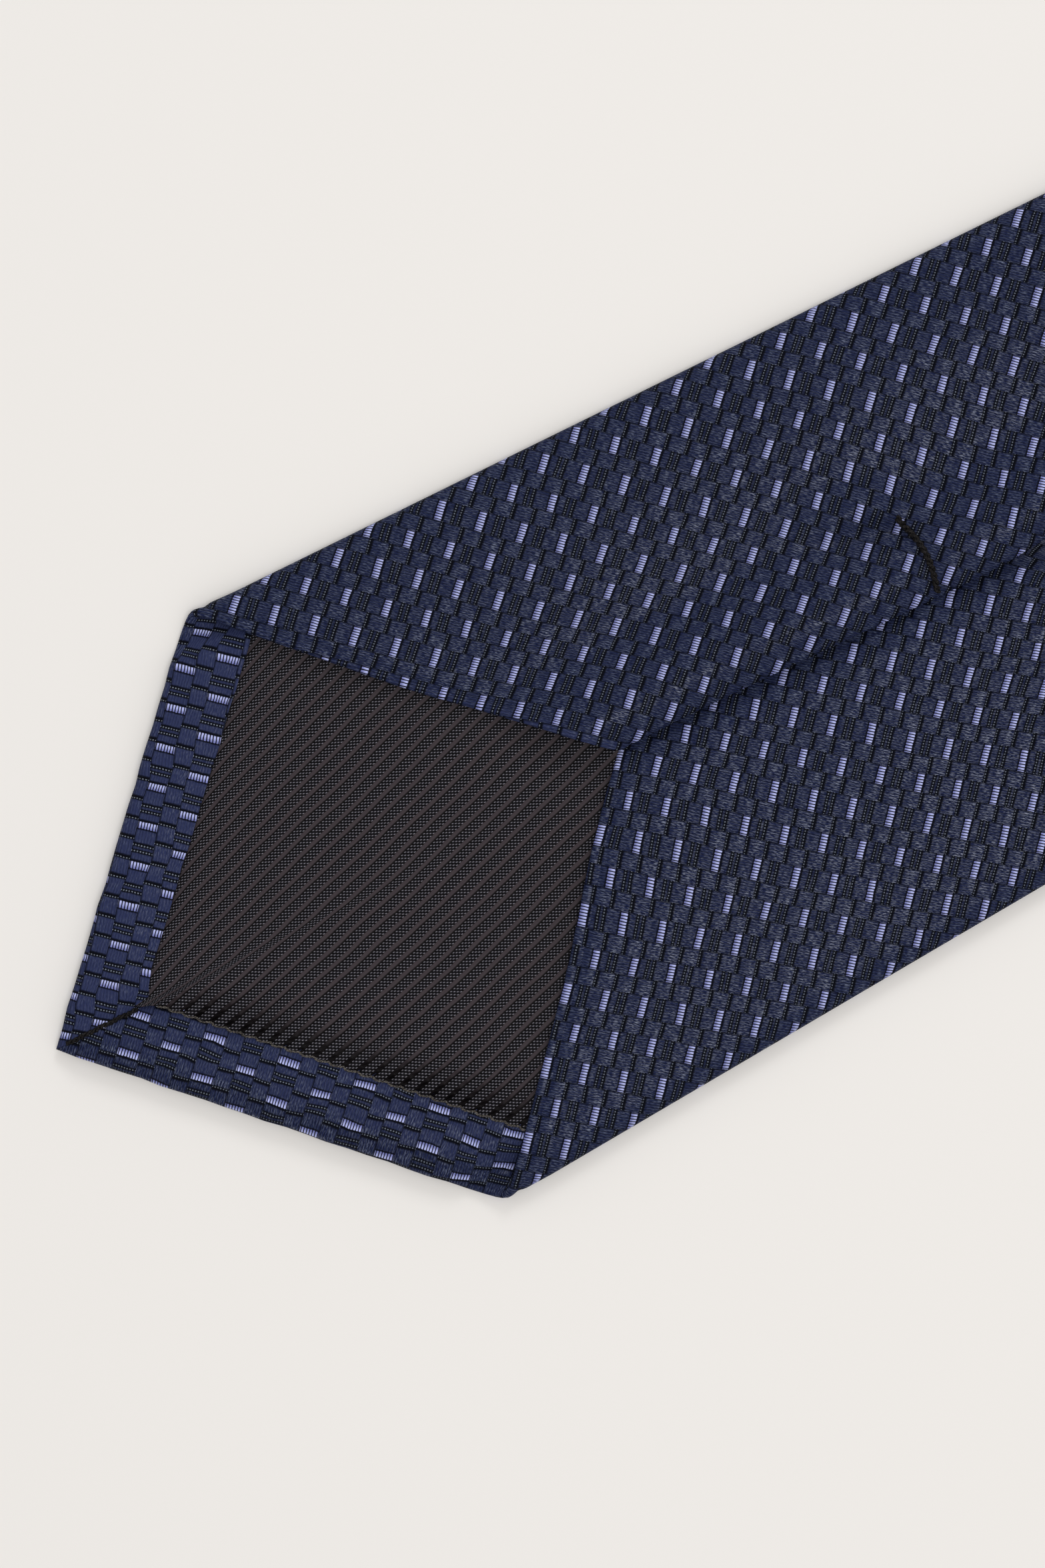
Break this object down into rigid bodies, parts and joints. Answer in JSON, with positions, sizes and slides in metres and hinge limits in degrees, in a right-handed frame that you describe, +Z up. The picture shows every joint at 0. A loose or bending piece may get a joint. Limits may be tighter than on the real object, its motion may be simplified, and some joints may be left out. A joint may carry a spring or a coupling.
{
  "type": "necktie",
  "caption": "Long woven silk necktie laid out face down, with folded and lined blades, bar tacks, keeper loop and care label.",
  "frame": {"origin": "under the middle of the tie, on the surface it lies on", "axes": "+X along the tie from the front tip to the tail tip, +Y across it towards the flap that laps over, +Z up out of the back of the tie"},
  "size_m": [1.48, 0.08, 0.0107],
  "materials": {
    "shell_cloth": "woven silk",
    "tipping_cloth": "satin stripe",
    "interlining_cloth": "brushed wool",
    "dark_thread": "twisted thread",
    "label_cloth": "satin ribbon"
  },
  "bodies": {
    "front_blade": {"front_shell": "shell_cloth", "front_interlining": "interlining_cloth", "front_tipping": "tipping_cloth", "front_tipping_stitch_left": "dark_thread", "front_tipping_stitch_right": "dark_thread", "front_mitre_stitch": "dark_thread", "front_bar_tack": "dark_thread", "front_slip_stitch": "dark_thread", "keeper_loop": "shell_cloth", "keeper_tack_left": "dark_thread", "keeper_tack_right": "dark_thread", "care_label_stitch": "dark_thread"},
    "care_label": {"care_label": "label_cloth"},
    "neck": {"neck_shell": "shell_cloth", "neck_interlining": "interlining_cloth", "neck_slip_stitch": "dark_thread", "front_join_stitch": "dark_thread"},
    "tail_blade": {"tail_shell": "shell_cloth", "tail_interlining": "interlining_cloth", "tail_tipping": "tipping_cloth", "tail_tipping_stitch_left": "dark_thread", "tail_tipping_stitch_right": "dark_thread", "tail_mitre_stitch": "dark_thread", "tail_bar_tack": "dark_thread", "tail_slip_stitch": "dark_thread", "tail_join_stitch": "dark_thread"}
  },
  "joints": [
    {"name": "front_fold", "type": "hinge", "parent": "front_blade", "child": "neck", "pos_m": [-0.12, 0, 0.0046], "axis": [0, -1, 0], "range_deg": [0, 170]},
    {"name": "tail_fold", "type": "hinge", "parent": "neck", "child": "tail_blade", "pos_m": [0.22, 0, -0.0001], "axis": [0, 1, 0], "range_deg": [0, 170]},
    {"name": "label_turn", "type": "hinge", "parent": "front_blade", "child": "care_label", "pos_m": [-0.468, -0.0155, 0.004], "axis": [0, -1, 0], "range_deg": [0, 170]}
  ]
}
